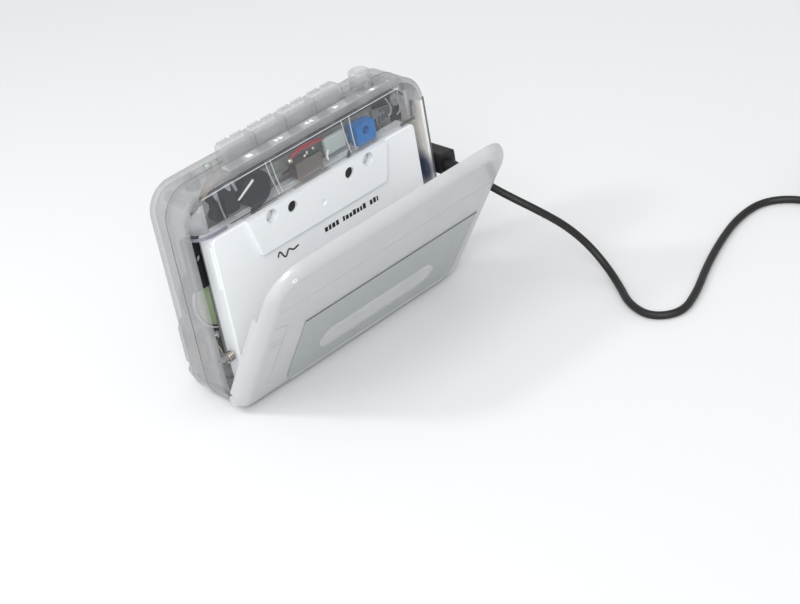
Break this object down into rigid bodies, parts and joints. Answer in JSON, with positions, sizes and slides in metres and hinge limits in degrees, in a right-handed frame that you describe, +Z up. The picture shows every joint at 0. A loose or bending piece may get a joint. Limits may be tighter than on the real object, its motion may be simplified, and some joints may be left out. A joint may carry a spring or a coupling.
{
  "type": "cassette player",
  "caption": "Pocket cassette player in smoky clear plastic, frosted door open on a loaded cassette, piano keys on top, a short power lead plugged into its side.",
  "frame": {"origin": "on the flat base at its middle from side to side, at the parting line of the two shells", "axes": "+X to the right seen from the front, +Y from the door towards the back, +Z up; standing on its base"},
  "size_m": [0.2735, 0.161, 0.0945],
  "materials": {
    "smoke_clear": "smoky translucent moulded plastic",
    "clear": "clear moulded plastic",
    "frosted": "milky frosted plastic",
    "hatch_strip": "finely lined translucent strip",
    "key_clear": "clear moulded key",
    "steel": "plain steel",
    "spring_steel": "spring steel",
    "silver_panel": "satin silver-grey panel",
    "cassette_white": "white moulded plastic",
    "white_plastic": "white acetal",
    "felt": "felt pad",
    "tape_brown": "wound magnetic tape",
    "black_plastic": "black moulded plastic",
    "dark_plate": "grey pressed steel",
    "brass": "turned brass",
    "motor_can": "drawn steel can",
    "belt_rubber": "rubber belt",
    "head_metal": "polished head shield",
    "blue_plastic": "blue moulded plastic",
    "roller_rubber": "smooth black rubber",
    "lead_red": "insulated lead",
    "board_green": "circuit board lacquer",
    "navy_plastic": "navy moulded plastic",
    "lamp_clear": "pale clear lens",
    "cell_wrap": "plain battery wrap",
    "cord_black": "black flexible sleeve"
  },
  "bodies": {
    "case": {"front_shell": "smoke_clear", "rear_shell": "smoke_clear", "head_cover": "clear", "label_strip": "hatch_strip", "case_screws": "steel", "hinge_pins": "steel", "door_spring": "spring_steel", "cassette_front_half": "cassette_white", "cassette_rear_half": "cassette_white", "cassette_guide_rollers": "white_plastic", "cassette_pressure_pad": "felt", "chassis_plate": "dark_plate", "locating_pins": "black_plastic", "bearings": "brass", "motor": "motor_can", "drive_belt": "belt_rubber", "main_board": "board_green", "board_parts": "black_plastic", "board_screws": "steel", "key_guide": "black_plastic", "key_springs": "spring_steel", "power_socket": "navy_plastic", "headphone_socket": "black_plastic", "microphone": "steel", "power_lamp": "lamp_clear", "battery_tray": "smoke_clear", "battery_cells": "cell_wrap", "battery_contacts": "spring_steel", "power_plug": "cord_black", "cord_tube": "cord_black", "cord_coil": "cord_black", "cord_far_plug": "cord_black"},
    "door": {"door": "frosted", "door_panel": "silver_panel", "door_window": "clear", "door_leaf_springs": "spring_steel"},
    "supply_reel": {"supply_hub": "white_plastic", "supply_tape": "tape_brown", "supply_spindle": "black_plastic"},
    "takeup_reel": {"takeup_hub": "white_plastic", "takeup_tape": "tape_brown", "takeup_spindle": "black_plastic"},
    "flywheel": {"flywheel": "brass", "capstan": "steel"},
    "motor_pulley": {"motor_pulley": "brass"},
    "head_carriage": {"head_carriage": "dark_plate", "record_play_head": "head_metal", "erase_head": "blue_plastic", "pinch_arm": "black_plastic", "head_leads": "lead_red"},
    "pinch_roller": {"pinch_roller": "roller_rubber"},
    "volume_wheel": {"volume_wheel": "black_plastic"},
    "battery_door": {"battery_door": "smoke_clear"},
    "key_stop": {"key_stop": "key_clear"},
    "key_fast_forward": {"key_fast_forward": "key_clear"},
    "key_rewind": {"key_rewind": "key_clear"},
    "key_play": {"key_play": "key_clear"},
    "key_record": {"key_record": "key_clear"}
  },
  "joints": [
    {"name": "door_hinge", "type": "hinge", "parent": "case", "child": "door", "pos_m": [0, -0.0125, 0.0058], "axis": [1, 0, 0], "range_deg": [-32, 0], "stiffness_Nm_per_rad": 0.004, "springref_deg": 20.05},
    {"name": "supply_spin", "type": "hinge", "parent": "case", "child": "supply_reel", "pos_m": [0.02125, -0.007, 0.0348], "axis": [0, 1, 0], "continuous": true},
    {"name": "takeup_spin", "type": "hinge", "parent": "case", "child": "takeup_reel", "pos_m": [-0.02125, -0.007, 0.0348], "axis": [0, 1, 0], "continuous": true},
    {"name": "flywheel_spin", "type": "hinge", "parent": "case", "child": "flywheel", "pos_m": [-0.024, 0.003, 0.066], "axis": [0, 1, 0], "continuous": true},
    {"name": "motor_spin", "type": "hinge", "parent": "case", "child": "motor_pulley", "pos_m": [-0.0431, 0.009, 0.0402], "axis": [0, 1, 0], "continuous": true},
    {"name": "head_carriage_slide", "type": "slide", "parent": "case", "child": "head_carriage", "axis": [0, 0, -1], "range_m": [0, 0.003], "stiffness_N_per_m": 120, "springref_m": -0.002},
    {"name": "pinch_roller_spin", "type": "hinge", "parent": "head_carriage", "child": "pinch_roller", "pos_m": [-0.025, -0.0075, 0.077], "axis": [0, 1, 0], "continuous": true},
    {"name": "volume_turn", "type": "hinge", "parent": "case", "child": "volume_wheel", "pos_m": [0.053, 0.0037, 0.0704], "axis": [0, 1, 0], "range_deg": [-140, 140]},
    {"name": "battery_door_slide", "type": "slide", "parent": "case", "child": "battery_door", "axis": [0, 0, 1], "range_m": [0, 0.006]},
    {"name": "key_stop_press", "type": "slide", "parent": "case", "child": "key_stop", "axis": [0, 0, -1], "range_m": [0, 0.003], "stiffness_N_per_m": 150, "springref_m": -0.002},
    {"name": "key_fast_forward_press", "type": "slide", "parent": "case", "child": "key_fast_forward", "axis": [0, 0, -1], "range_m": [0, 0.003], "stiffness_N_per_m": 150, "springref_m": -0.002},
    {"name": "key_rewind_press", "type": "slide", "parent": "case", "child": "key_rewind", "axis": [0, 0, -1], "range_m": [0, 0.003], "stiffness_N_per_m": 150, "springref_m": -0.002},
    {"name": "key_play_press", "type": "slide", "parent": "case", "child": "key_play", "axis": [0, 0, -1], "range_m": [0, 0.003], "stiffness_N_per_m": 150, "springref_m": -0.002},
    {"name": "key_record_press", "type": "slide", "parent": "case", "child": "key_record", "axis": [0, 0, -1], "range_m": [0, 0.003], "stiffness_N_per_m": 150, "springref_m": -0.002}
  ],
  "couplings": [
    {"joint": "head_carriage_slide", "follows": "key_play_press", "ratio": 1},
    {"joint": "motor_spin", "follows": "flywheel_spin", "ratio": 4.7333}
  ]
}
